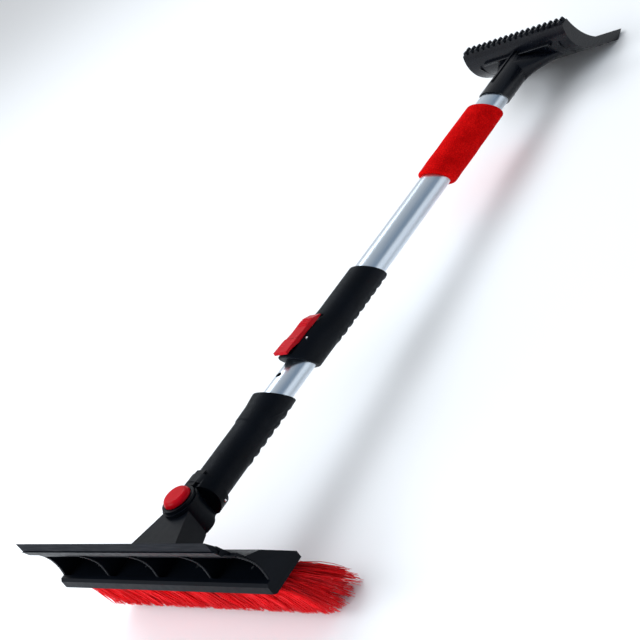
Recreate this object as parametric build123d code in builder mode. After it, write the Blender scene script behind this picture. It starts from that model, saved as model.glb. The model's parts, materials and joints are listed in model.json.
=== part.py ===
from build123d import *
import math
import os

# Telescoping snow brush with an ice scraper. Millimetres.
# The pieces are laid out in the shaft's own frame: X runs along the shaft from the brush pivot
# to the scraper, Y lies along the brush head, and Z points away from the bristles. REST then
# lays the tool down on its bristle tips and its scraper edge, with +Z up and z = 0 on the floor.

os.makedirs("parts", exist_ok=True)

# ---------------------------------------------------------------- driving dimensions
RAKE = 35.0  # the moulded ends lean this far from square, in degrees

OUTER_R = 14.0
OUTER_WALL = 1.1
OUTER_START = 208.0
OUTER_END = 698.0
INNER_R = 12.5
INNER_WALL = 1.2
INNER_START = 24.0
INNER_END = 560.0
GUIDE_LENGTH = 14.0
RUNNING_GAP = 0.3  # between the inner tube and what slides along it
PRESS_FIT = 0.02  # between a bore and the tube that is pressed into it
RUNNING_FIT = 0.05  # round a pin, a screw or an insert

LOCK_PIN_X = 190.0
LOCK_PIN_R = 2.7
DETENT_R = 3.2
DETENT_PITCH = 25.0
DETENTS_BELOW = 1
DETENTS_ABOVE = 11

GRIP_R = 16.4
FLARE_START = 108.0
FLARE_END = 138.0
FLARE_R = 18.0
FLARE_RISE = 1.6
LOWER_GRIP_END = 147.7
LOCK_GRIP_START = 194.2
LOCK_GRIP_END = 332.5
LOCK_R = 16.8
LOCK_TAIL_X = 215.0
LOCK_TAIL_END = 262.0
LOCK_TAIL_WIDE = 15.8
LOCK_TAIL_TALL = 19.4
LOCK_TAIL_RISE = 2.5
SCALLOP_R = 3.6
SCALLOP_DEPTH = 2.1
SCALLOP_PITCH = 12.0
LOWER_SCALLOPS = 6
LOCK_SCALLOPS = 8

LEVER_X = 210.0
LEVER_Z = 17.2
LEVER_HALF = 7.2
LEVER_LIP_HALF = 8.6
LEVER_PIN_R = 1.4
SLOT_HALF = 7.6
SLOT_FLOOR = 14.3
SLOT_START = 185.5
SLOT_END = 246.0

FOAM_START = 486.6
FOAM_END = 615.5
FOAM_R = 18.8

SOCKET_START = 638.6
SOCKET_R = 15.7
SCRAPER_HALF = 72.5
TEETH = 18
TEETH_PITCH = 8.0

PLATE_GAP = 13.3  # half the gap between the fork's two plates
TONGUE_HALF = 13.0
TONGUE_R = 17.0
PLATE_THICK = 3.2
PLATE_TOP = PLATE_GAP + PLATE_THICK
PLATE_R = 18.0
LOWER_PLATE_R = 14.5
WEB_HALF = 7.5
WEB_FRONT = 16.0
COLLAR_START = 20.8
HOUSING_R = 19.5
HOUSING_END = 31.0
BOLT_R = 2.55
SPLINES = 24
BUTTON_R = 13.4
BUTTON_TRAVEL = 3.0
BOSS_R = 11.1

HEAD_HALF = 141.5
SQUEEGEE_HALF = 131.7
HOLDER_HALF = 133.0
RIB_PITCH = 70.0
RIB_THICK = 2.4
BLOCK_HALF = 137.0
BLOCK_X = -46.0
BLOCK_Z = -20.0
BLOCK_WIDE = 30.0
BLOCK_THICK = 6.0
BLOCK_SCREW_R = 1.6
BRISTLE_HALF = 139.0

# ---------------------------------------------------------------- outlines as (x, z)
BLADE_LOW = (799.0, -46.2)
BLADE_TIP = (815.0, -41.0)
BRISTLE_LOW = (4.0, -85.6)
BRISTLE_FOOT = 32.0  # how far the row of bristle tips stands along the shaft
SQUEEGEE_TIP = (-80.5, 51.2)
HOLDER_TOP = (-77.6, 41.0)

# ---------------------------------------------------------------- the resting pose
TILT = math.degrees(math.atan2(BLADE_LOW[1] - BRISTLE_LOW[1], BLADE_LOW[0] - BRISTLE_LOW[0]))


def laid_down(point):
    """A point (x, z) of the shaft's frame, turned by the resting tilt."""
    turn = math.radians(TILT)
    x, z = point
    return x * math.cos(turn) + z * math.sin(turn), z * math.cos(turn) - x * math.sin(turn)


MIDDLE = (laid_down(SQUEEGEE_TIP)[0] + laid_down(BLADE_TIP)[0]) / 2
FLOOR = laid_down(BRISTLE_LOW)[1]
REST = Location((-MIDDLE, 0, -FLOOR), (0, TILT, 0))


def finish(piece, name):
    """Lay a finished piece down in the resting pose, label it and write it."""
    piece.part.move(REST)
    piece.part.label = name
    export_step(piece.part, f"parts/{name}.step")


# ---------------------------------------------------------------- shared shapes
def raked(x):
    """A plane across the shaft at x on its axis, leaning so that its top is nearer the brush."""
    lean = math.radians(RAKE)
    return Plane(origin=(x, 0, 0), x_dir=(0, 1, 0), z_dir=(math.cos(lean), 0, math.sin(lean)))


def disc(x, radius, rise=0.0):
    """A round section across the shaft."""
    with BuildSketch(Plane.YZ.offset(x)) as section:
        with Locations((0, rise)):
            Circle(radius)
    return section.sketch


def oval(x, wide, tall, rise=0.0):
    """An oval section across the shaft, wide and tall being its half axes."""
    with BuildSketch(Plane.YZ.offset(x)) as section:
        with Locations((0, rise)):
            Ellipse(wide, tall)
    return section.sketch


def side_profile(points):
    """A closed outline of (x, z) points, drawn in the plane y = 0."""
    with BuildSketch(Plane.XZ) as section:
        with BuildLine():
            Polyline(*points, close=True)
        make_face()
    return section.sketch


def bore(start, end, radius):
    """Cut a round hole along the shaft."""
    extrude(disc(start, radius), amount=end - start, mode=Mode.SUBTRACT)


def scallops(first, count, radius):
    """Finger grooves round the underside of a round grip."""
    with BuildPart() as groove:
        with Locations(Location((0, 0, 0), (0, 90, 0))):
            Torus(radius + SCALLOP_R - SCALLOP_DEPTH, SCALLOP_R)
        with Locations((0, 0, 50.0 - radius / 3)):
            Box(100, 100, 100, mode=Mode.SUBTRACT)
    for i in range(count):
        add(groove.part.moved(Location((first + i * SCALLOP_PITCH, 0, 0))), mode=Mode.SUBTRACT)


def across_holder(point, along, sideways):
    """A point (x, z) moved down into the holder's slot by along and across it by sideways."""
    dx, dz = SQUEEGEE_TIP[0] - HOLDER_TOP[0], SQUEEGEE_TIP[1] - HOLDER_TOP[1]
    reach = math.hypot(dx, dz)
    ux, uz = dx / reach, dz / reach
    return point[0] - along * ux + sideways * uz, point[1] - along * uz - sideways * ux


def coil(radius, wire_r, height, turns):
    """A helical spring standing on z = 0."""
    with BuildPart() as spring:
        with BuildLine():
            path = Helix(pitch=height / turns, height=height, radius=radius)
        with BuildSketch(Plane(origin=path @ 0, z_dir=path % 0)):
            Circle(wire_r)
        sweep(is_frenet=True)
    return spring


# ---------------------------------------------------------------- handle: the inner tube
with BuildPart() as inner_tube:
    extrude(disc(INNER_START, INNER_R), amount=INNER_END - INNER_START)
    bore(INNER_START, INNER_END, INNER_R - INNER_WALL)
    detents = range(-DETENTS_BELOW, DETENTS_ABOVE + 1)
    with BuildSketch(Plane.XY.offset(INNER_R / 2)):
        with Locations(*[(LOCK_PIN_X + i * DETENT_PITCH, 0) for i in detents]):
            Circle(DETENT_R)
    extrude(amount=INNER_R, mode=Mode.SUBTRACT)
finish(inner_tube, "inner_tube")

# A plug in the tube's upper end, whose collar guides it inside the outer tube.
with BuildPart() as tube_guide:
    extrude(disc(INNER_END, OUTER_R - OUTER_WALL - 0.08), amount=4)
    extrude(disc(INNER_END - GUIDE_LENGTH, INNER_R - INNER_WALL), amount=GUIDE_LENGTH)
    bore(INNER_END - GUIDE_LENGTH, INNER_END + 4, INNER_R - INNER_WALL - 2.5)
finish(tube_guide, "tube_guide")

# ---------------------------------------------------------------- handle: the lower grip
with BuildPart() as lower_grip:
    extrude(disc(HOUSING_END, GRIP_R), amount=FLARE_START - HOUSING_END)
    loft([disc(FLARE_START, GRIP_R), disc(FLARE_END, FLARE_R, FLARE_RISE)])
    extrude(disc(FLARE_END, FLARE_R, FLARE_RISE), amount=40)
    split(bisect_by=raked(LOWER_GRIP_END), keep=Keep.BOTTOM)
    bore(HOUSING_END, FLARE_END + 40, INNER_R + PRESS_FIT)
    scallops(82.0, LOWER_SCALLOPS, GRIP_R)
finish(lower_grip, "lower_grip")


# ---------------------------------------------------------------- handle: the pivot housing
SCREW_SPOTS = [(26.0, 16.0), (26.0, -16.0)]
SCREW_R = 1.4


def housing(side):
    """Half of the fork and collar that hold the brush pivot; side is 1 above, -1 below."""
    reach = HOUSING_END - 3.0
    # the web behind the tongue, cut back so that the neck swings clear of it
    with BuildPart() as web:
        with BuildSketch(Plane.XY.offset(-PLATE_TOP)):
            with BuildLine():
                flank = [(WEB_FRONT, WEB_HALF), (COLLAR_START, HOUSING_R), (reach, HOUSING_R)]
                Polyline((0, 0), (0, WEB_HALF), *flank, (reach, 0))
                mirror(about=Plane.XZ)
            make_face()
        extrude(amount=2 * PLATE_TOP)
        extrude(disc(0, HOUSING_R), amount=reach, mode=Mode.INTERSECT)
    with BuildPart() as half:
        extrude(disc(COLLAR_START, HOUSING_R), amount=HOUSING_END - COLLAR_START)
        add(web.part)
        with BuildSketch(Plane.XY.offset(PLATE_GAP if side > 0 else -PLATE_TOP)):
            Circle(PLATE_R if side > 0 else LOWER_PLATE_R)
        extrude(amount=PLATE_THICK)
        with BuildSketch(Plane.XY.offset(-PLATE_GAP)):
            Circle(TONGUE_R + 0.4)
        extrude(amount=2 * PLATE_GAP, mode=Mode.SUBTRACT)
        bore(INNER_START, HOUSING_END, INNER_R + PRESS_FIT)
        with Locations((0, 0, -side * 50)):
            Box(200, 200, 100, mode=Mode.SUBTRACT)
        with BuildSketch(Plane.XY.offset(-HOUSING_R)):
            with Locations(*SCREW_SPOTS):
                Circle(SCREW_R + RUNNING_FIT)
        extrude(amount=HOUSING_R + 8, mode=Mode.SUBTRACT)
    return half


# a low tab that runs up over the grip
TAB = [(16.6, 14.0), (16.6, 19.2), (22.0, 18.8), (36.5, 17.6), (36.5, 16.5), (28.0, 16.5), (28.0, 14.0)]

with BuildPart() as housing_upper:
    add(housing(1).part)
    with BuildSketch(Plane.XY.offset(PLATE_TOP)):
        Circle(BUTTON_R + 3.0)
        Circle(BUTTON_R + 0.5, mode=Mode.SUBTRACT)
    extrude(amount=3.0)
    with BuildSketch(Plane.XY.offset(PLATE_GAP)):
        RectangleRounded(11.4, 11.4, 2.2)
    extrude(amount=20, mode=Mode.SUBTRACT)
    extrude(side_profile(TAB), amount=6.0, both=True)
finish(housing_upper, "housing_upper")

with BuildPart() as housing_lower:
    add(housing(-1).part)
    with BuildSketch(Plane.XY.offset(-PLATE_GAP)):
        Circle(BOSS_R)
        Circle(BOSS_R - 2.2, mode=Mode.SUBTRACT)
    extrude(amount=11)
    with BuildSketch(Plane.XY.offset(-30)):
        Circle(BOLT_R + RUNNING_FIT)
    extrude(amount=30, mode=Mode.SUBTRACT)
finish(housing_lower, "housing_lower")

with BuildPart() as housing_screws:
    with BuildSketch(Plane.XY.offset(-11.0)):
        with Locations(*SCREW_SPOTS):
            Circle(SCREW_R)
    extrude(amount=18.5)
finish(housing_screws, "housing_screws")

with BuildPart() as pivot_bolt:
    with BuildSketch(Plane.XY.offset(-PLATE_TOP - 1.4)):
        Circle(5.4)
        RegularPolygon(2.6, 6, mode=Mode.SUBTRACT)
    extrude(amount=1.4)
    with BuildSketch(Plane.XY.offset(-PLATE_TOP)):
        Circle(BOLT_R)
    extrude(amount=22)
finish(pivot_bolt, "pivot_bolt")

# ---------------------------------------------------------------- release button and its lock
with BuildPart() as release_button:
    rim_z = PLATE_TOP + BUTTON_TRAVEL + 0.3
    with BuildSketch(Plane.XY.offset(rim_z)):
        Circle(BUTTON_R)
    extrude(amount=5.6)
    fillet(release_button.edges().group_by(Axis.Z)[-1], radius=5.0)
    with BuildSketch(Plane.XY.offset(TONGUE_HALF - 0.1)):
        RectangleRounded(10.8, 10.8, 1.9)
    extrude(amount=rim_z - TONGUE_HALF + 0.1)
finish(release_button, "release_button")

with BuildPart() as lock_plug:
    with BuildSketch(Plane.XY.offset(10.4)):
        Circle(9.5)
        with PolarLocations(10.0, SPLINES):
            Rectangle(1.6, 1.1)
    extrude(amount=2.5)
    with BuildSketch(Plane.XY.offset(4.0)):
        Circle(5.2)
    extrude(amount=6.4)
    with BuildSketch(Plane.XY.offset(4.0)):
        Circle(2.85)
    extrude(amount=6.4, mode=Mode.SUBTRACT)
finish(lock_plug, "lock_plug")

button_spring = coil(6.9, 0.55, 22.0, 7)
button_spring.part.move(Location((0, 0, -12.6)))
finish(button_spring, "button_spring")

# ---------------------------------------------------------------- brush head
RIB_ARC = [(-71.6, 27.7), (-61.5, 6.0), (-62.0, -10.5)]
BACK_WALL = [(-27.0, -23.0), (-27.0, -16.0), (-52.0, 13.0), (-66.0, 21.0), (-69.4, 28.8)]
LIP = [(-66.0, -10.5), (-68.0, -13.0), (-68.0, -20.5), (-65.0, -23.0)]
HOLDER_BACK = [(-62.0, 17.5), (-66.0, 21.0), (-74.8, 41.8)]
HOLDER_FRONT = [(-80.6, 40.2), (-77.2, 32.8), (-72.9, 30.2), (-69.5, 26.0)]
CAVITY_TOP = [(-90.0, 28.2), (-72.2, 28.0), (-68.6, 20.0), (-54.3, 10.5)]
CAVITY_FOOT = [(-31.0, -14.5), (-62.0, -14.5), (-62.0, -10.4), (-90.0, -10.4)]
SLOT_DEPTH = 4.6

# one open bay between two webs
with BuildPart() as bay:
    extrude(side_profile(CAVITY_TOP + CAVITY_FOOT), amount=(RIB_PITCH - RIB_THICK) / 2, both=True)

with BuildPart() as head_shell:
    with BuildSketch(Plane.XY.offset(-15.0)):
        with BuildLine():
            Polyline((-8, -15.5), (-8, 15.5), (-50, 32), (-50, -32), close=True)
        make_face()
    extrude(amount=15.0 + TONGUE_HALF)
    with BuildSketch(Plane.XY.offset(-15.0)):
        Circle(PLATE_R + 1.0)
    extrude(amount=15.0 - TONGUE_HALF, mode=Mode.SUBTRACT)
    with BuildSketch(Plane.XZ):
        with BuildLine():
            Polyline(*BACK_WALL, RIB_ARC[0])
            ThreePointArc(*RIB_ARC)
            Polyline(RIB_ARC[-1], *LIP, BACK_WALL[0])
        make_face()
    extrude(amount=HEAD_HALF, both=True)
    extrude(side_profile(HOLDER_BACK + HOLDER_FRONT), amount=HOLDER_HALF, both=True)
    slot = [across_holder(HOLDER_TOP, SLOT_DEPTH, -1.5), across_holder(HOLDER_TOP, SLOT_DEPTH, 1.5)]
    slot += [across_holder(HOLDER_TOP, -3.0, 1.5), across_holder(HOLDER_TOP, -3.0, -1.5)]
    extrude(side_profile(slot), amount=HOLDER_HALF, both=True, mode=Mode.SUBTRACT)
    # the open bays between the webs and the two end plates
    for y in (-1.5 * RIB_PITCH, -0.5 * RIB_PITCH, 0.5 * RIB_PITCH, 1.5 * RIB_PITCH):
        add(bay.part.moved(Location((0, y, 0))), mode=Mode.SUBTRACT)
    # the seat for the bristle block
    with Locations((BLOCK_X, 0, BLOCK_Z)):
        Box(BLOCK_WIDE, 2 * BLOCK_HALF, BLOCK_THICK + PRESS_FIT, mode=Mode.SUBTRACT)
    with Locations((BLOCK_X, 0, BLOCK_Z + 4.0)):
        with GridLocations(0, RIB_PITCH, 1, 4):
            Cylinder(BLOCK_SCREW_R + PRESS_FIT, 6.0, mode=Mode.SUBTRACT)
    # the tongue, its bearing bore and its ring of splines
    with BuildSketch(Plane.XY.offset(-TONGUE_HALF)):
        Circle(TONGUE_R)
    extrude(amount=2 * TONGUE_HALF)
    with BuildSketch(Plane.XY.offset(-TONGUE_HALF - 5)):
        Circle(BOSS_R + 0.3)
    extrude(amount=10.2 + TONGUE_HALF + 5, mode=Mode.SUBTRACT)
    with BuildSketch(Plane.XY.offset(10.2)):
        Circle(BOSS_R + 0.3)
        with PolarLocations(10.9, SPLINES, start_angle=180 / SPLINES):
            Rectangle(2.0, 1.1, mode=Mode.SUBTRACT)
    extrude(amount=10, mode=Mode.SUBTRACT)
finish(head_shell, "head_shell")

# ---------------------------------------------------------------- squeegee and bristles
with BuildPart() as squeegee:
    root = [across_holder(HOLDER_TOP, SLOT_DEPTH, side) for side in (-1.5, 1.5)]
    neck = [across_holder(HOLDER_TOP, -1.0, side) for side in (1.5, -1.5)]
    flare = [across_holder(HOLDER_TOP, -1.2, side) for side in (2.4, -2.4)]
    outline = [*root, neck[0], flare[0], SQUEEGEE_TIP, flare[1], neck[1]]
    extrude(side_profile(outline), amount=SQUEEGEE_HALF, both=True)
finish(squeegee, "squeegee")

with BuildPart() as bristle_block:
    with Locations((BLOCK_X, 0, BLOCK_Z)):
        Box(BLOCK_WIDE - 0.2, 2 * BLOCK_HALF - 0.2, BLOCK_THICK)
        with GridLocations(0, RIB_PITCH, 1, 4):
            Cylinder(BLOCK_SCREW_R + PRESS_FIT, BLOCK_THICK + 0.2, mode=Mode.SUBTRACT)
finish(bristle_block, "bristle_block")

with BuildPart() as block_screws:
    with BuildSketch(Plane.XY.offset(BLOCK_Z)):
        with GridLocations(0, RIB_PITCH, 1, 4):
            with Locations((BLOCK_X, 0)):
                Circle(BLOCK_SCREW_R)
    extrude(amount=5.5)
finish(block_screws, "block_screws")

with BuildPart() as bristles:
    foot_rise = BRISTLE_FOOT * math.tan(math.radians(TILT))
    heel = (BRISTLE_LOW[0] - BRISTLE_FOOT, BRISTLE_LOW[1] - foot_rise)
    outline = [(-60.0, -23.0), (-32.0, -23.0), (-3.0, -67.0), BRISTLE_LOW, heel, (-43.0, -73.0)]
    extrude(side_profile(outline), amount=BRISTLE_HALF, both=True)
finish(bristles, "bristles")

# ---------------------------------------------------------------- outer tube and lock grip
with BuildPart() as outer_tube:
    extrude(disc(OUTER_START, OUTER_R), amount=OUTER_END - OUTER_START)
    bore(OUTER_START, OUTER_END, OUTER_R - OUTER_WALL)
finish(outer_tube, "outer_tube")

with BuildPart() as lock_grip:
    tail = [
        oval(165.0, LOCK_TAIL_WIDE, LOCK_TAIL_TALL, LOCK_TAIL_RISE),
        oval(LOCK_TAIL_X, LOCK_TAIL_WIDE, LOCK_TAIL_TALL, LOCK_TAIL_RISE),
        oval(LOCK_TAIL_END, LOCK_R, LOCK_R),
    ]
    loft(tail[:2])
    loft(tail[1:])
    extrude(disc(LOCK_TAIL_END, LOCK_R), amount=95)
    split(bisect_by=raked(LOCK_GRIP_START), keep=Keep.TOP)
    split(bisect_by=raked(LOCK_GRIP_END), keep=Keep.BOTTOM)
    bore(150.0, OUTER_START, INNER_R + RUNNING_GAP)
    bore(OUTER_START, 370.0, OUTER_R + PRESS_FIT)
    # the slot that the lever sits in, open above
    with Locations(((SLOT_START + SLOT_END) / 2, 0, SLOT_FLOOR + 15)):
        Box(SLOT_END - SLOT_START, 2 * SLOT_HALF, 30, mode=Mode.SUBTRACT)
    # the pin swings with the lever, so its hole is wider than the pin
    with BuildSketch(Plane.XY.offset(10.0)):
        with Locations((LOCK_PIN_X, 0)):
            Circle(LOCK_PIN_R + 0.9)
    extrude(amount=10, mode=Mode.SUBTRACT)
    with Locations(Location((LEVER_X, 0, LEVER_Z), (90, 0, 0))):
        Cylinder(LEVER_PIN_R + PRESS_FIT, 60, mode=Mode.SUBTRACT)
    scallops(248.0, LOCK_SCALLOPS, LOCK_R)
finish(lock_grip, "lock_grip")

# ---------------------------------------------------------------- lock lever, pins and spring
LEVER_TOP = [(181.0, 25.8), (196.0, 25.2), (212.0, 23.8), (227.0, 23.8), (233.5, 23.2), (243.0, 19.6)]
LEVER_UNDER = [(243.0, 18.4), (222.0, 18.6), (212.6, 17.6), (211.6, 15.0), (208.4, 15.0), (205.0, 18.6)]
LEVER_NOSE = [(188.0, 22.0), (181.0, 22.6)]
LEVER_LIP = [(181.0, 22.6), (181.0, 25.8), (196.0, 25.2), (202.0, 24.7), (198.0, 22.6)]
LOCK_PIN_FOOT = 11.0
LOCK_PIN_TOP = 23.4

with BuildPart() as lock_lever:
    extrude(side_profile(LEVER_TOP + LEVER_UNDER + LEVER_NOSE), amount=LEVER_HALF, both=True)
    extrude(side_profile(LEVER_LIP), amount=LEVER_LIP_HALF, both=True)
    with Locations(Location((LEVER_X, 0, LEVER_Z), (90, 0, 0))):
        Cylinder(LEVER_PIN_R + 0.06, 60, mode=Mode.SUBTRACT)
    with BuildSketch(Plane.XY.offset(LOCK_PIN_FOOT)):
        with Locations((LOCK_PIN_X, 0)):
            Circle(LOCK_PIN_R + PRESS_FIT / 2)
    extrude(amount=LOCK_PIN_TOP - LOCK_PIN_FOOT, mode=Mode.SUBTRACT)
finish(lock_lever, "lock_lever")

with BuildPart() as lever_pin:
    with Locations(Location((LEVER_X, 0, LEVER_Z), (90, 0, 0))):
        Cylinder(LEVER_PIN_R, 20.8)
finish(lever_pin, "lever_pin")

lever_spring = coil(2.6, 0.4, 3.0, 4)
lever_spring.part.move(Location((229.0, 0, SLOT_FLOOR + 0.45)))
finish(lever_spring, "lever_spring")

# the steel pin that the lever carries into the inner tube's holes
with BuildPart() as lock_pin:
    with BuildSketch(Plane.XY.offset(LOCK_PIN_FOOT)):
        with Locations((LOCK_PIN_X, 0)):
            Circle(LOCK_PIN_R)
    extrude(amount=LOCK_PIN_TOP - LOCK_PIN_FOOT)
finish(lock_pin, "lock_pin")

# ---------------------------------------------------------------- foam sleeve
with BuildPart() as foam_sleeve:
    extrude(disc(FOAM_START - 30, FOAM_R), amount=FOAM_END - FOAM_START + 60)
    split(bisect_by=raked(FOAM_START), keep=Keep.TOP)
    split(bisect_by=raked(FOAM_END), keep=Keep.BOTTOM)
    bore(FOAM_START - 40, FOAM_END + 40, OUTER_R + PRESS_FIT)
finish(foam_sleeve, "foam_sleeve")

# ---------------------------------------------------------------- scraper head
INNER_FACE = [(762.0, -18.0), (744.0, -1.0), (734.5, 14.0), (729.5, 27.5)]
OUTER_FACE = [(716.5, 27.5), (714.5, 14.0), (720.0, -1.0), (736.0, -16.5), (754.0, -27.0)]
INSERT = [(766.0, -32.1), BLADE_LOW, (802.2, -45.16), (766.0, -29.7)]
INSERT_HALF = SCRAPER_HALF - 2.5
LEDGE = [(712.5, 8.5), (710.6, 11.5), (716.0, 12.5), (719.0, 8.5)]  # across the back
LEDGE_HALF = 48.0
SOCKET_RIB = [(650.0, 14.0), (650.0, 17.2), (713.0, 17.2), (713.0, 14.0)]
SOCKET_RIB_HALF = 1.1
SOCKET_SCREW_X = 668.0
SOCKET_SCREW_R = 1.65

with BuildPart() as scraper_head:
    extrude(disc(SOCKET_START - 30, SOCKET_R), amount=OUTER_END - SOCKET_START + 36)
    split(bisect_by=raked(SOCKET_START), keep=Keep.TOP)
    # the fan that spreads the round socket into the wide blade
    fan = [
        disc(688.0, SOCKET_R),
        oval(712.0, 36.0, 12.0, -3.5),
        oval(744.0, 54.0, 8.5, -14.5),
        oval(772.0, 62.0, 4.5, -29.0),
    ]
    loft(fan)
    with BuildSketch(Plane.XZ):
        with BuildLine():
            Polyline(OUTER_FACE[-1], BLADE_LOW, BLADE_TIP, INNER_FACE[0])
            Spline(*INNER_FACE)
            Line(INNER_FACE[-1], OUTER_FACE[0])
            Spline(*OUTER_FACE)
        make_face()
    extrude(amount=SCRAPER_HALF, both=True)
    extrude(side_profile(LEDGE), amount=LEDGE_HALF, both=True)
    extrude(side_profile(SOCKET_RIB), amount=SOCKET_RIB_HALF, both=True)
    # two rows of ice-breaking teeth along the top edge
    with BuildSketch(Plane.YZ.offset(716.5)):
        with GridLocations(TEETH_PITCH, 0, TEETH, 1):
            with Locations((0, 29.4)):
                Trapezoid(6.0, 4.2, 65)
    extrude(amount=13.0)
    with Locations((723.0, 0, 31.0)):
        Box(2.6, 2 * SCRAPER_HALF + 2, 5.0, mode=Mode.SUBTRACT)
    bore(SOCKET_START - 30, OUTER_END, OUTER_R + PRESS_FIT)
    extrude(side_profile(INSERT), amount=INSERT_HALF, both=True, mode=Mode.SUBTRACT)
    with Locations((SOCKET_SCREW_X, 0, -15.0)):
        Cylinder(SOCKET_SCREW_R + RUNNING_FIT, 10, mode=Mode.SUBTRACT)
finish(scraper_head, "scraper_head")

with BuildPart() as blade_insert:
    extrude(side_profile(INSERT), amount=INSERT_HALF - RUNNING_FIT, both=True)
finish(blade_insert, "blade_insert")

with BuildPart() as socket_screw:
    with BuildSketch(Plane.XY.offset(-17.2)):
        with Locations((SOCKET_SCREW_X, 0)):
            Circle(3.2)
    extrude(amount=1.45)
    with BuildSketch(Plane.XY.offset(-15.75)):
        with Locations((SOCKET_SCREW_X, 0)):
            Circle(SOCKET_SCREW_R)
    extrude(amount=1.65)
finish(socket_screw, "socket_screw")
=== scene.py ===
import json
import math
import random
import bmesh
import bpy
from mathutils import Matrix, Vector, noise


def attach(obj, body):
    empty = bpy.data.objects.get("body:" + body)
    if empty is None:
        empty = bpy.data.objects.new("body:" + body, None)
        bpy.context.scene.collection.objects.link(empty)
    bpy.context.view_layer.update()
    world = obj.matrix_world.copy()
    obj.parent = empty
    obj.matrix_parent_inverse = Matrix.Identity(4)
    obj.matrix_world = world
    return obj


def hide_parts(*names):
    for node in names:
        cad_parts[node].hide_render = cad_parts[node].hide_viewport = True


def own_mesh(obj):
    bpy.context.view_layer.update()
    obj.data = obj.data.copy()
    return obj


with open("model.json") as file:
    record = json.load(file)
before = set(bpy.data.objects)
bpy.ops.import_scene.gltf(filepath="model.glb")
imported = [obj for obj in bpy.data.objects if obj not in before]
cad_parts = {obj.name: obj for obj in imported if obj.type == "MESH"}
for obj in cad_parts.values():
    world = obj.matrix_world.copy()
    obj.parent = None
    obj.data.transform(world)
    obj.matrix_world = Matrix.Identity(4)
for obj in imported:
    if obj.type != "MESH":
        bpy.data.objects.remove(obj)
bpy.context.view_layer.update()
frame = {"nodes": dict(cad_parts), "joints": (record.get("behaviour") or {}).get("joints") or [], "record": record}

# Lengths are millimetres in the shaft's own frame: x from the brush pivot towards the scraper, y along
# the brush head, z away from the bristles. The frame's joints say where that frame lies in the row.
JOINTS = {joint["name"]: joint for joint in frame["joints"]}
PIVOT = Vector(JOINTS["head_pivot"]["pos_m"])
ALONG = Vector(JOINTS["telescope"]["axis"]).normalized()
UP = Vector(JOINTS["head_pivot"]["axis"]).normalized()
SIDE = UP.cross(ALONG)
MM = 0.001
TILT = math.atan2(-ALONG.z, ALONG.x)
RAKE = math.radians(35.0)


def at(x, y, z):
    """A point of the shaft's frame, in the row frame and in metres."""
    return PIVOT + (ALONG * x + SIDE * y + UP * z) * MM


def smooth(low, high, value):
    """0 below low, 1 above high, and a smooth step between; low may be above high."""
    share = min(max((value - low) / (high - low), 0.0), 1.0)
    return share * share * (3.0 - 2.0 * share)


# ---------------------------------------------------------------- node helpers
class Finish:
    """One material's node tree, with the object's coordinates turned to lie along the shaft."""

    def __init__(self, name, colour, roughness, metallic=0.0, specular=0.5):
        self.material = bpy.data.materials.new(name)
        self.material.use_nodes = True
        self.tree = self.material.node_tree
        self.shader = self.tree.nodes["Principled BSDF"]
        self.shader.inputs["Base Color"].default_value = (*colour, 1.0)
        self.shader.inputs["Roughness"].default_value = roughness
        self.shader.inputs["Metallic"].default_value = metallic
        self.shader.inputs["Specular IOR Level"].default_value = specular
        place = self.add("ShaderNodeTexCoord").outputs["Object"]
        turn = self.add("ShaderNodeMapping")
        turn.inputs["Rotation"].default_value = (0.0, -TILT, 0.0)
        self.join(place, turn.inputs["Vector"])
        self.place = turn.outputs["Vector"]

    def add(self, kind, **values):
        node = self.tree.nodes.new(kind)
        for name, value in values.items():
            if name in node.inputs:
                node.inputs[name].default_value = value
            else:
                setattr(node, name, value)
        return node

    def join(self, output, socket):
        self.tree.links.new(output, socket)

    def stretched(self, scale):
        """The coordinates scaled by a triple, for streaks."""
        node = self.add("ShaderNodeMapping", Scale=scale)
        self.join(self.place, node.inputs["Vector"])
        return node.outputs["Vector"]

    def noise(self, scale, detail=3.0, roughness=0.5, place=None):
        node = self.add("ShaderNodeTexNoise", Scale=scale, Detail=detail, Roughness=roughness)
        self.join(place or self.place, node.inputs["Vector"])
        return node.outputs["Fac"]

    def cells(self, scale):
        node = self.add("ShaderNodeTexVoronoi", Scale=scale)
        self.join(self.place, node.inputs["Vector"])
        return node.outputs["Distance"]

    def ramp(self, value, stops):
        """Colours or greys along a value, as (position, colour) pairs."""
        node = self.add("ShaderNodeValToRGB")
        while len(node.color_ramp.elements) < len(stops):
            node.color_ramp.elements.new(0.5)
        for element, (position, colour) in zip(node.color_ramp.elements, stops):
            element.position = position
            channels = colour if isinstance(colour, tuple) else (colour,) * 3
            element.color = (*channels, 1.0)
        self.join(value, node.inputs["Fac"])
        return node.outputs["Color"]

    def multiply(self, a, b):
        node = self.add("ShaderNodeMath", operation="MULTIPLY")
        self.join(a, node.inputs[0])
        if isinstance(b, float):
            node.inputs[1].default_value = b
        else:
            self.join(b, node.inputs[1])
        return node.outputs[0]

    def colour(self, value, stops):
        self.join(self.ramp(value, stops), self.shader.inputs["Base Color"])

    def roughness(self, value, low, high):
        self.join(self.ramp(value, [(0.3, low), (0.7, high)]), self.shader.inputs["Roughness"])

    def bump(self, heights):
        """Stacked bumps, as (height output, depth in metres) pairs."""
        last = None
        for height, depth in heights:
            node = self.add("ShaderNodeBump", Distance=depth)
            self.join(height, node.inputs["Height"])
            if last is not None:
                self.join(last, node.inputs["Normal"])
            last = node.outputs["Normal"]
        self.join(last, self.shader.inputs["Normal"])


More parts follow.
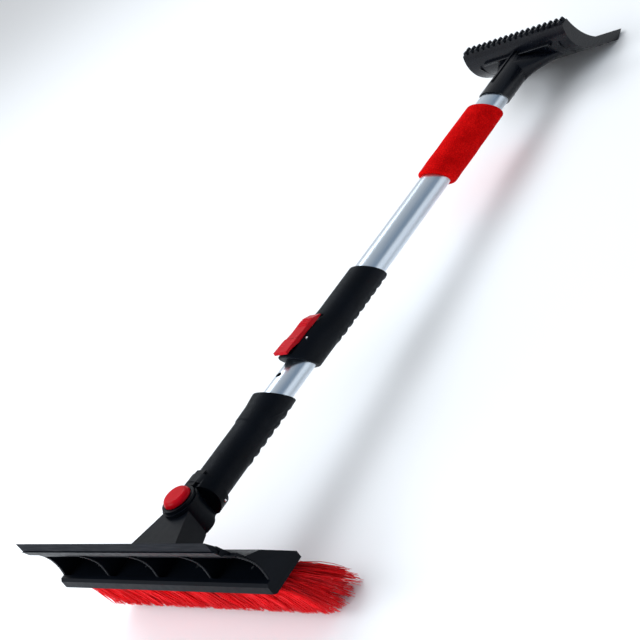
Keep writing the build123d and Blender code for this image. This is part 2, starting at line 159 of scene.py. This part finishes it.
# ---------------------------------------------------------------- materials
def black_plastic():
    """Satin moulded polypropylene: a fine eroded texture, faint flow marks and uneven gloss."""
    made = Finish("black_plastic", (0.003, 0.004, 0.0065), 0.36, specular=0.06)
    flow = made.noise(38.0, 4.0, place=made.stretched((1.0, 0.35, 1.0)))
    made.colour(flow, [(0.3, (0.0018, 0.0026, 0.0042)), (0.7, (0.0034, 0.0048, 0.0078))])
    made.roughness(made.noise(160.0, 5.0), 0.30, 0.42)
    made.bump([(made.noise(1500.0, 4.0), 0.00004), (made.noise(90.0, 2.0), 0.00008)])
    return made.material


def black_gloss():
    """The scraper's harder, shinier moulding, with fine lengthwise scuffs."""
    made = Finish("black_gloss", (0.004, 0.005, 0.009), 0.24, specular=0.22)
    flow = made.noise(30.0, 4.0)
    made.colour(flow, [(0.3, (0.0016, 0.0022, 0.0040)), (0.7, (0.0032, 0.0042, 0.0075))])
    scuffs = made.noise(420.0, 5.0, 0.7, place=made.stretched((0.12, 1.0, 1.0)))
    made.roughness(scuffs, 0.20, 0.36)
    made.bump([(scuffs, 0.00002), (made.noise(60.0, 2.0), 0.00003)])
    return made.material


def grip_black():
    """Soft-touch grip: a pebbled grain of about a millimetre over a matte rubbery body."""
    made = Finish("grip_black", (0.003, 0.005, 0.009), 0.46, specular=0.07)
    grain = made.cells(900.0)
    patches = made.noise(45.0, 4.0)
    made.colour(patches, [(0.3, (0.0016, 0.0028, 0.0048)), (0.7, (0.0030, 0.0046, 0.0078))])
    made.roughness(made.noise(210.0, 4.0), 0.40, 0.54)
    made.bump([(grain, 0.00010), (made.noise(2600.0, 3.0), 0.00003)])
    return made.material


def red_plastic():
    """Glossy red moulding with a thin clear skin and the faintest orange peel."""
    made = Finish("red_plastic", (0.48, 0.0018, 0.009), 0.26, specular=0.04)
    made.shader.inputs["Coat Weight"].default_value = 0.03
    made.shader.inputs["Coat Roughness"].default_value = 0.16
    made.colour(made.noise(70.0, 3.0), [(0.25, (0.44, 0.0012, 0.006)), (0.75, (0.54, 0.0025, 0.012))])
    made.roughness(made.noise(90.0, 3.0), 0.20, 0.28)
    made.bump([(made.noise(140.0, 1.0), 0.00001)])
    return made.material


def red_insert():
    """The dark red wear strip under the blade, scuffed along its length."""
    made = Finish("red_insert", (0.30, 0.006, 0.010), 0.32, specular=0.3)
    scuffs = made.noise(500.0, 5.0, 0.7, place=made.stretched((1.0, 0.1, 1.0)))
    made.colour(scuffs, [(0.3, (0.24, 0.004, 0.006)), (0.75, (0.42, 0.012, 0.016))])
    made.roughness(scuffs, 0.26, 0.44)
    made.bump([(scuffs, 0.00004)])
    return made.material


def aluminium():
    """Satin anodised tube, drawn lengthwise, so that its fine streaks run along the shaft."""
    made = Finish("aluminium", (0.62, 0.68, 0.74), 0.34, metallic=1.0)
    made.shader.inputs["Anisotropic"].default_value = 0.35
    streaks = made.noise(1400.0, 6.0, 0.65, place=made.stretched((0.02, 1.0, 1.0)))
    made.colour(streaks, [(0.25, (0.56, 0.63, 0.70)), (0.75, (0.66, 0.72, 0.78))])
    made.roughness(made.multiply(streaks, made.noise(60.0, 4.0)), 0.28, 0.44)
    made.bump([(streaks, 0.000025), (made.noise(2600.0, 2.0), 0.000012)])
    return made.material


def steel():
    """Zinc-plated hardware with a light tumbled finish."""
    made = Finish("steel", (0.72, 0.73, 0.74), 0.3, metallic=1.0)
    made.colour(made.noise(300.0, 4.0), [(0.3, (0.60, 0.61, 0.62)), (0.7, (0.82, 0.83, 0.84))])
    made.roughness(made.noise(700.0, 4.0), 0.22, 0.42)
    made.bump([(made.noise(1800.0, 3.0), 0.00003)])
    return made.material


def foam():
    """Closed-cell grip foam: cut cells at two sizes, with painted shade that darkens their hollows, and a matte
    skin.
    """
    made = Finish("foam", (0.52, 0.002, 0.003), 0.95, specular=0.03)
    coarse = made.cells(850.0)
    fine = made.cells(2100.0)
    # Painted shade: the colour follows the cells' depth, with random patches, so it is darkest in the hollows and
    # lightest on the crests.
    cell_shade_and_patches = made.multiply(coarse, made.noise(70.0, 4.0))
    painted_shade_hollow, wall, crest = (0.42, 0.0005, 0.001), (0.72, 0.002, 0.0025), (0.86, 0.006, 0.005)
    made.colour(cell_shade_and_patches, [(0.04, painted_shade_hollow), (0.30, wall), (0.5, crest)])
    made.roughness(made.noise(400.0, 4.0), 0.85, 1.0)
    made.bump([(coarse, 0.0005), (fine, 0.0002), (made.noise(120.0, 3.0), 0.0003)])
    return made.material


def bristle():
    """Split polymer filament: each one has its own tone, with painted shade that darkens it to near black at its
    root, and it pales a little towards its tip.
    """
    made = Finish("bristle", (0.80, 0.010, 0.020), 0.42, specular=0.10)
    made.shader.inputs["Subsurface Weight"].default_value = 0.12
    made.shader.inputs["Subsurface Radius"].default_value = (0.003, 0.0006, 0.0006)
    tone_and_root_shade = made.add("ShaderNodeAttribute", attribute_name="tone_and_root_shade").outputs["Fac"]
    # The near-black root colour is painted shade among the packed filaments; shaft and tip are the filament's own
    # red.
    root, shaft, tip = (0.18, 0.0003, 0.001), (0.95, 0.006, 0.011), (1.0, 0.035, 0.045)
    made.colour(tone_and_root_shade, [(0.0, root), (0.45, shaft), (1.0, tip)])
    made.roughness(made.noise(900.0, 3.0), 0.34, 0.52)
    made.bump([(made.noise(3000.0, 2.0), 0.00003)])
    return made.material


def rubber():
    """Squeegee rubber with a dusty bloom and faint drag lines."""
    made = Finish("rubber", (0.005, 0.006, 0.010), 0.5, specular=0.06)
    drag = made.noise(700.0, 4.0, place=made.stretched((1.0, 0.06, 1.0)))
    bloom = made.noise(50.0, 4.0)
    made.colour(bloom, [(0.3, (0.0024, 0.0032, 0.0056)), (0.75, (0.0050, 0.0062, 0.0100))])
    made.roughness(drag, 0.44, 0.62)
    made.bump([(drag, 0.00005)])
    return made.material


def nylon():
    """Unfilled grey nylon of the hidden guides."""
    made = Finish("nylon", (0.08, 0.08, 0.09), 0.45)
    made.colour(made.noise(120.0, 4.0), [(0.3, (0.065, 0.065, 0.075)), (0.7, (0.10, 0.10, 0.11))])
    made.roughness(made.noise(300.0, 3.0), 0.38, 0.52)
    made.bump([(made.noise(1200.0, 3.0), 0.00005)])
    return made.material


BLACKS = (black_plastic, black_gloss, grip_black, rubber, nylon)
MAKERS = BLACKS + (red_plastic, red_insert, aluminium, steel, foam, bristle)
MATERIALS = {maker.__name__: maker() for maker in MAKERS}
SLOTS = {part["node"]: part["material_slot"] for part in frame["record"]["subparts"]}
BODIES = {node: body for body, nodes in frame["record"]["behaviour"]["bodies"].items() for node in nodes}

for node, piece in frame["nodes"].items():
    piece.data.materials.clear()
    piece.data.materials.append(MATERIALS[SLOTS[node]])


# ---------------------------------------------------------------- mesh helpers
def settle(piece, node, slot, stands=True):
    """Gives a piece its material, slot and body, and lets it stand for the CAD node."""
    piece.data.materials.clear()
    piece.data.materials.append(MATERIALS[slot])
    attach(piece, BODIES[node])
    if stands:
        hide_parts(node)
    return piece


def placed(name, points, faces):
    """A mesh object of points in the shaft's frame."""
    mesh = bpy.data.meshes.new(name)
    mesh.from_pydata([at(*point) for point in points], [], faces)
    mesh.validate()
    piece = bpy.data.objects.new(name, mesh)
    bpy.context.scene.collection.objects.link(piece)
    return piece


def outward(piece, sharp):
    """Faces turned outwards, and smooth shading broken only at edges sharper than that many degrees."""
    work = bmesh.new()
    work.from_mesh(piece.data)
    bmesh.ops.recalc_face_normals(work, faces=work.faces)
    work.to_mesh(piece.data)
    work.free()
    piece.data.shade_smooth()
    piece.data.set_sharp_from_angle(angle=math.radians(sharp))
    return piece


def baked(piece):
    """Applies the piece's modifiers."""
    graph = bpy.context.evaluated_depsgraph_get()
    mesh = bpy.data.meshes.new_from_object(piece.evaluated_get(graph))
    piece.modifiers.clear()
    piece.data = mesh
    return piece


def rounded(piece, width, segments, angle):
    """Rounds every edge sharper than angle, in degrees, by width in millimetres."""
    bevel = piece.modifiers.new("Round", "BEVEL")
    bevel.width = width * MM
    bevel.segments = segments
    bevel.limit_method = "ANGLE"
    bevel.angle_limit = math.radians(angle)
    bevel.miter_outer = "MITER_ARC"
    normals = piece.modifiers.new("Normals", "WEIGHTED_NORMAL")
    normals.keep_sharp = True
    return baked(piece)


def moulded(node, width, segments=2, angle=34.0):
    """A copy of a CAD node with its edges rounded, as a moulding's are."""
    source = frame["nodes"][node]
    piece = bpy.data.objects.new("fine_" + node, source.data.copy())
    bpy.context.scene.collection.objects.link(piece)
    if "custom_normal" in piece.data.attributes:
        piece.data.attributes.remove(piece.data.attributes["custom_normal"])
    work = bmesh.new()
    work.from_mesh(piece.data)
    bmesh.ops.remove_doubles(work, verts=work.verts, dist=1e-6)
    bmesh.ops.dissolve_limit(work, angle_limit=math.radians(0.4), verts=work.verts, edges=work.edges)
    for edge in work.edges:
        edge.smooth = True
    work.to_mesh(piece.data)
    work.free()
    piece.data.shade_smooth()
    piece.data.set_sharp_from_angle(angle=math.radians(42.0))
    rounded(piece, width, segments, angle)
    return settle(piece, node, SLOTS[node])


def closed_rings(name, rings):
    """A closed skin over rings of equally many points, the last ring joining the first."""
    around = len(rings[0])
    points = [point for ring in rings for point in ring]
    faces = []
    for i in range(len(rings)):
        here, there = i * around, (i + 1) % len(rings) * around
        for j in range(around):
            k = (j + 1) % around
            faces.append((here + j, here + k, there + k, there + j))
    return placed(name, points, faces)


def sleeve(name, start, end, outline, bores, rounding, step, around, square_start=False):
    """A moulded sleeve on the shaft between two raked ends, with rounded rims.

    outline(x, angle) gives the radius and the rise of the section's centre, and
    bores are the radii of the hole at the two ends.
    """
    reach = end - start
    arc = [rounding * (1.0 - math.cos(math.radians(a))) for a in (0, 18, 36, 54, 72, 90)]
    body_steps = max(2, round((reach - 2 * rounding) / step))
    body = [rounding + (reach - 2 * rounding) * i / body_steps for i in range(1, body_steps)]
    stations = arc + body + [reach - depth for depth in reversed(arc)]
    lean_start = 0.0 if square_start else math.tan(RAKE)
    rings = []

    def ring(travel, inset, radius=None):
        points = []
        for j in range(around):
            angle = 2.0 * math.pi * j / around
            x, height = start + travel, 0.0
            for _ in range(3):
                full, rise = outline(x, angle)
                size = radius if radius is not None else full - inset
                lift = 0.0 if radius is not None else rise
                height = lift + size * math.sin(angle)
                lean = lean_start + (math.tan(RAKE) - lean_start) * travel / reach
                x = start + travel - height * lean
            points.append((x, size * math.cos(angle), height))
        return points

    rings.append(ring(0.0, 0.0, bores[0]))
    for travel in stations:
        edge = min(travel, reach - travel)
        short = max(rounding - edge, 0.0)
        rings.append(ring(travel, rounding - math.sqrt(rounding ** 2 - short ** 2)))
    rings.append(ring(reach, 0.0, bores[1]))
    return outward(closed_rings(name, rings), 50.0)


def carved(piece, corner, opposite, rim):
    """Cuts a box with rounded edges out of a piece."""
    cutter = block("cutter", corner, opposite, rim)
    cut = piece.modifiers.new("Cut", "BOOLEAN")
    cut.object = cutter
    cut.operation = "DIFFERENCE"
    cut.solver = "EXACT"
    baked(piece)
    bpy.data.objects.remove(cutter)
    return piece


def block(name, corner, opposite, rim):
    """A box between two corners of the shaft's frame, with rounded edges."""
    xs, ys, zs = zip(corner, opposite)
    points = [(x, y, z) for x in xs for y in ys for z in zs]
    faces = [(0, 1, 3, 2), (4, 6, 7, 5), (0, 4, 5, 1), (2, 3, 7, 6), (0, 2, 6, 4), (1, 5, 7, 3)]
    piece = outward(placed(name, points, faces), 60.0)
    return rounded(piece, rim, 3, 30.0)


def bead(name, path, radius, node, slot):
    """A round bead along a path, let into the surface that it runs on."""
    curve = bpy.data.curves.new(name, "CURVE")
    curve.dimensions = "3D"
    curve.bevel_depth = radius * MM
    curve.bevel_resolution = 3
    curve.use_fill_caps = True
    line = curve.splines.new("NURBS")
    line.points.add(len(path) - 1)
    for point, place in zip(line.points, path):
        point.co = (*at(*place), 1.0)
    line.order_u = min(3, len(path))
    line.use_endpoint_u = True
    holder = bpy.data.objects.new(name, curve)
    bpy.context.scene.collection.objects.link(holder)
    graph = bpy.context.evaluated_depsgraph_get()
    mesh = bpy.data.meshes.new_from_object(holder.evaluated_get(graph))
    bpy.data.objects.remove(holder)
    piece = bpy.data.objects.new(name, mesh)
    bpy.context.scene.collection.objects.link(piece)
    piece.data.shade_smooth()
    return settle(piece, node, slot, stands=False)


# ---------------------------------------------------------------- grips
GRIP_R = 16.4
LOCK_R = 16.8
SCALLOP_PITCH = 12.0
SCALLOP_DEPTH = 2.1
LOWER_SCALLOPS, LOWER_COUNT = 82.0, 6  # where the first groove is, and how many there are
LOCK_SCALLOPS, LOCK_COUNT = 248.0, 8
INNER_TUBE_R, OUTER_TUBE_R = 12.5, 14.0
PRESS_FIT = 0.02
SLOT_FROM, SLOT_TO = (185.5, -7.6, 14.3), (246.0, 7.6, 40.0)


def scallop(x, angle, first, count):
    """How deep the finger grooves of a grip's underside are at x."""
    nearest = first + SCALLOP_PITCH * min(max(round((x - first) / SCALLOP_PITCH), 0), count - 1)
    depth = max(0.0, SCALLOP_DEPTH - 0.105 * (x - nearest) ** 2)
    return depth * smooth(-0.62, -0.84, math.sin(angle))


def crests(x, angle, height, rise, fall):
    """How far the ridges between the finger grooves stand out, between two (start, end) slopes."""
    underside = smooth(-0.5, -0.8, math.sin(angle))
    return height * underside * smooth(*rise, x) * smooth(*fall, x)


def crease(x, angle, start, end, height):
    """A moulded fold along a straight line of (x, angle in degrees)."""
    across, turn = end[0] - start[0], end[1] - start[1]
    off_x, off_turn = x - start[0], math.degrees(angle) - start[1]
    share = (off_x * across + off_turn * turn) / (across ** 2 + turn ** 2)
    if not 0.0 <= share <= 1.0:
        return 0.0
    apart = math.hypot(off_x - share * across, (off_turn - share * turn) * 0.3)
    return height * math.exp(-(apart / 1.0) ** 2) * math.sin(math.pi * share) ** 0.5


def lower_outline(x, angle):
    """The lower grip: round, with a flared top, a thumb ledge and two moulded folds."""
    flare = smooth(106.0, 140.0, x)
    top = smooth(0.0, 0.75, math.sin(angle))
    ledge = 0.9 * smooth(100.0, 102.5, x) * smooth(124.0, 110.0, x) * top
    folds = crease(x, angle, (115.0, 172.0), (134.0, 205.0), 0.55)
    folds += crease(x, angle, (106.0, 196.0), (126.0, 232.0), 0.35)
    crest = crests(x, angle, 0.9, (70.0, 78.0), (152.0, 142.0))
    radius = GRIP_R + 1.6 * flare + crest + ledge + folds
    return radius - scallop(x, angle, LOWER_SCALLOPS, LOWER_COUNT), 1.6 * flare


def lock_outline(x, angle):
    """The lock grip: round above, and a tall oval where it houses the lever."""
    tail = smooth(258.0, 215.0, x)
    wide, tall = LOCK_R - 1.0 * tail, LOCK_R + 2.6 * tail
    oval = wide * tall / math.hypot(tall * math.cos(angle), wide * math.sin(angle))
    crest = crests(x, angle, 1.1, (236.0, 246.0), (344.0, 336.0))
    return oval + crest - scallop(x, angle, LOCK_SCALLOPS, LOCK_COUNT), 2.5 * tail


on_inner = INNER_TUBE_R + PRESS_FIT
on_outer = OUTER_TUBE_R + PRESS_FIT

lower_grip = sleeve(
    "lower_grip_skin", 31.2, 147.7, lower_outline,
    bores=(on_inner, on_inner), rounding=1.2, step=0.8, around=120, square_start=True,
)
settle(lower_grip, "lower_grip", "grip_black")

lock_grip = sleeve(
    "lock_grip_skin", 194.2, 332.5, lock_outline,
    bores=(INNER_TUBE_R + 0.3, on_outer), rounding=2.6, step=0.8, around=120,
)
carved(lock_grip, SLOT_FROM, SLOT_TO, 1.0)
outward(lock_grip, 50.0)
settle(lock_grip, "lock_grip", "grip_black")


# ---------------------------------------------------------------- foam sleeve
FOAM_START, FOAM_END = 486.6, 615.5
FOAM_R = 18.6


def foam_outline(x, angle):
    """Soft foam: a slight swell at mid length and shallow hand-worn hollows."""
    share = (x - FOAM_START) / (FOAM_END - FOAM_START)
    swell = 0.25 * math.sin(math.pi * min(max(share, 0.0), 1.0))
    spot = Vector((x / 16.0, 1.2 * math.cos(angle), 1.2 * math.sin(angle)))
    return FOAM_R + swell + 0.28 * noise.noise(spot) + 0.10 * noise.noise(spot * 5.0), 0.0


foam_sleeve = sleeve(
    "foam_grip", FOAM_START, FOAM_END, foam_outline,
    bores=(on_outer, on_outer), rounding=4.2, step=1.0, around=96,
)
settle(foam_sleeve, "foam_sleeve", "foam")


# ---------------------------------------------------------------- bristles
TUFTS_HALF = 134.0  # the outermost tufts' middles
BLOCK_FACE = -22.5  # the filaments' roots
SPLAY_HALF = 146.0  # how far the splayed ends may reach


def bristle_field():
    """Tufts of tapered, slightly wavy filaments that lean forward and fan out to a jagged foot."""
    rows, columns, per_tuft = 6, 41, 26
    sides, rings = 3, 5
    chance = random.Random(7)
    foot = [Vector((-43.0, -73.0)), Vector((-28.0, -86.0)), Vector((4.8, -85.2)), Vector((0.5, -67.0))]
    lengths = [(b - a).length for a, b in zip(foot, foot[1:])]
    whole = sum(lengths)

    def along_foot(share):
        left = share * whole
        for a, b, length in zip(foot, foot[1:], lengths):
            if left <= length:
                return a.lerp(b, left / length)
            left -= length
        return foot[-1].copy()

    points, faces, tones_and_root_shade = [], [], []
    for row in range(rows):
        for column in range(columns):
            stagger = 1.6 if row % 2 else -1.6
            middle_y = TUFTS_HALF * (2.0 * column / (columns - 1) - 1.0) + stagger
            middle_x = -57.0 + 22.0 * row / (rows - 1)
            tuft_tone = chance.uniform(-0.26, 0.18)
            tuft_lean = chance.uniform(-2.5, 2.5)
            for _ in range(per_tuft):
                turn, out = chance.uniform(0, 2 * math.pi), math.sqrt(chance.random())
                root_x = middle_x + 2.4 * out * math.cos(turn)
                root = Vector((root_x, middle_y + 3.0 * out * math.sin(turn), BLOCK_FACE))
                share = (row + 0.5 + 0.75 * chance.uniform(-1, 1)) / rows
                end = along_foot(min(max(share, 0.0), 1.0))
                trim = 1.0 - abs(chance.gauss(0, 0.035))
                if chance.random() < 0.08:
                    trim += 0.05
                tip = Vector((
                    root.x + (end.x - root.x) * trim,
                    root.y + tuft_lean + chance.gauss(0, 2.2) + 6.5 * (root.y / TUFTS_HALF) ** 5,
                    root.z + (end.y - root.z) * min(trim, 1.0),
                ))
                tip.y = min(max(tip.y, -SPLAY_HALF), SPLAY_HALF)
                bend = Vector((chance.gauss(1.6, 1.0), chance.gauss(0, 1.0), chance.gauss(0, 0.6)))
                thick = chance.uniform(0.38, 0.52)
                tone = 0.55 + tuft_tone + chance.gauss(0, 0.14)
                start = len(points)
                for k in range(rings):
                    t = k / (rings - 1)
                    centre = root.lerp(tip, t) + bend * math.sin(math.pi * t)
                    radius = thick * (1.0 - 0.5 * t ** 2)
                    for m in range(sides):
                        spin = 2 * math.pi * m / sides + turn
                        off_x, off_y = radius * math.cos(spin), radius * math.sin(spin)
                        points.append((centre.x + off_x, centre.y + off_y, centre.z))
                        # Each filament's random tone, darkened towards the root as painted shade and paling a
                        # little towards the tip.
                        tones_and_root_shade.append(min(max(tone - 0.25 * (1.0 - t) ** 2 + 0.12 * t, 0.0), 1.0))
                for k in range(rings - 1):
                    for m in range(sides):
                        a = start + k * sides + m
                        b = start + k * sides + (m + 1) % sides
                        faces.append((a, b, b + sides, a + sides))
                last = start + (rings - 1) * sides
                faces.append((last, last + 1, last + 2))
                faces.append((start + 2, start + 1, start))
    piece = placed("bristle_field", points, faces)
    tone_and_root_shade = piece.data.attributes.new("tone_and_root_shade", "FLOAT", "POINT")
    tone_and_root_shade.data.foreach_set("value", tones_and_root_shade)
    piece.data.shade_smooth()
    return piece


settle(bristle_field(), "bristles", "bristle")

# ---------------------------------------------------------------- mouldings from the CAD
EDGE_WIDTHS = {
    "head_shell": 0.7, "bristle_block": 0.6, "housing_upper": 0.6, "housing_lower": 0.6,
    "scraper_head": 0.55, "lock_lever": 0.6, "blade_insert": 0.3, "squeegee": 0.3,
    "release_button": 0.5, "lock_plug": 0.15, "tube_guide": 0.3, "pivot_bolt": 0.3,
    "lock_pin": 0.4,
}
for node, width in EDGE_WIDTHS.items():
    moulded(node, width)


def compressed(node):
    """A spring: a copy of the CAD node with a mesh of its own, standing for the node."""
    source = frame["nodes"][node]
    piece = bpy.data.objects.new("fine_" + node, source.data.copy())
    bpy.context.scene.collection.objects.link(piece)
    settle(piece, node, SLOTS[node])
    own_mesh(piece)


compressed("button_spring")
compressed("lever_spring")


# ---------------------------------------------------------------- ridges, strips and edges
def lever_ridges():
    """Cross ridges where the thumb presses the lever's upper end."""
    for i in range(4):
        x = 222.0 + 3.2 * i
        z = 23.75 - 0.35 * max(0.0, (x - 227.0) / 3.2)
        path = [(x, -6.2, z), (x, 0.0, z + 0.15), (x, 6.2, z)]
        bead(f"lever_ridge_{i}", path, 0.75, "lock_lever", "red_plastic")


lever_ridges()


def scraper_strips():
    """Raised strips down the back of the blade's fan, and a bead along the ledge's edge."""
    fall = [(713.8, 8.0), (716.2, 4.0), (720.0, -1.0), (727.5, -9.0), (736.0, -16.5)]
    for name, y in (("fan_strip_m57", -57.0), ("fan_strip_57", 57.0)):
        bead(name, [(x, y, z) for x, z in fall], 0.9, "scraper_head", "black_gloss")
    ledge = [(710.9, y, 11.6) for y in (-47.0, 0.0, 47.0)]
    bead("ledge_edge", ledge, 0.75, "scraper_head", "black_gloss")


scraper_strips()


def rib_edges():
    """Rounded front edges of the webs that close the head's open bays."""
    arc = [(-71.3, 26.6), (-67.0, 19.5), (-63.6, 12.6), (-61.5, 6.0), (-60.9, -1.6), (-61.8, -9.4)]
    for i in range(4):
        y = -140.0 + 70.0 * i
        bead(f"rib_edge_{i}", [(x, y, z) for x, z in arc], 1.0, "head_shell", "black_gloss")


rib_edges()


# ---------------------------------------------------------------- studio
def studio_floor():
    """A plain pale floor under the whole view."""
    size = 9.0
    mesh = bpy.data.meshes.new("floor")
    corners = [(-size, -size, 0), (size, -size, 0), (size, size, 0), (-size, size, 0)]
    mesh.from_pydata(corners, [], [(0, 1, 2, 3)])
    floor = bpy.data.objects.new("floor", mesh)
    bpy.context.scene.collection.objects.link(floor)
    made = Finish("floor", (0.92, 0.92, 0.92), 0.8, specular=0.1)
    made.colour(made.noise(1.5, 2.0), [(0.3, (0.915, 0.915, 0.915)), (0.7, (0.93, 0.93, 0.93))])
    floor.data.materials.append(made.material)


def softbox(name, where, towards, width, height, power):
    """A rectangular area light, slightly blue."""
    lamp = bpy.data.lights.new(name, "AREA")
    lamp.shape = "RECTANGLE"
    lamp.size, lamp.size_y = width, height
    lamp.energy = power
    lamp.color = (0.86, 0.93, 1.0)
    holder = bpy.data.objects.new(name, lamp)
    bpy.context.scene.collection.objects.link(holder)
    holder.location = where
    holder.rotation_mode = "QUATERNION"
    holder.rotation_quaternion = (Vector(towards) - Vector(where)).to_track_quat("-Z", "Y")


def studio_light():
    """A pale sky, brighter overhead and behind the object, and three soft boxes."""
    world = bpy.data.worlds.new("studio")
    world.use_nodes = True
    tree = world.node_tree
    back = tree.nodes["Background"]
    back.inputs["Strength"].default_value = 0.78
    where = tree.nodes.new("ShaderNodeTexCoord")
    height = tree.nodes.new("ShaderNodeVectorMath")
    height.operation = "DOT_PRODUCT"
    height.inputs[1].default_value = (-0.2, 0.8, 0.56)
    tree.links.new(where.outputs["Generated"], height.inputs[0])
    share = tree.nodes.new("ShaderNodeMapRange")
    share.inputs["From Min"].default_value = -0.55
    share.inputs["From Max"].default_value = 0.75
    tree.links.new(height.outputs["Value"], share.inputs["Value"])
    ramp = tree.nodes.new("ShaderNodeValToRGB")
    ramp.color_ramp.elements[0].position = 0.0
    ramp.color_ramp.elements[0].color = (0.34, 0.43, 0.54, 1.0)
    ramp.color_ramp.elements[1].position = 1.0
    ramp.color_ramp.elements[1].color = (1.0, 1.0, 1.0, 1.0)
    tree.links.new(share.outputs["Result"], ramp.inputs["Fac"])
    tree.links.new(ramp.outputs["Color"], back.inputs["Color"])
    bpy.context.scene.world = world
    bpy.context.scene.view_settings.view_transform = "Standard"
    softbox("key", (-1.5, 0.9, 1.7), (0.0, 0.0, 0.1), 1.4, 1.0, 27.0)
    softbox("top", (0.8, 1.5, 1.9), (0.0, 0.0, 0.1), 2.2, 1.0, 25.0)
    softbox("front", (-2.1, 0.1, 0.55), (-0.3, 0.0, 0.05), 0.9, 0.6, 16.0)


def camera():
    """The photograph's viewing angle: low over the brush, looking along and across the shaft."""
    lens = bpy.data.cameras.new("camera")
    lens.sensor_width = 36.0
    lens.lens = 78.77
    lens.clip_start, lens.clip_end = 0.05, 60.0
    holder = bpy.data.objects.new("camera", lens)
    bpy.context.scene.collection.objects.link(holder)

    def turned(v):
        return ALONG * v[0] + SIDE * v[1] + UP * v[2]

    right = turned((0.48446, -0.69358, -0.53314)).normalized()
    back = turned((-0.57923, -0.71103, 0.39866)).normalized()
    up = back.cross(right)
    spin = Matrix((right, up, back)).transposed()
    holder.rotation_mode = "QUATERNION"
    holder.rotation_quaternion = spin.to_quaternion()
    holder.location = at(-537.8, -959.5, 549.5)
    bpy.context.scene.camera = holder


studio_floor()
studio_light()
camera()
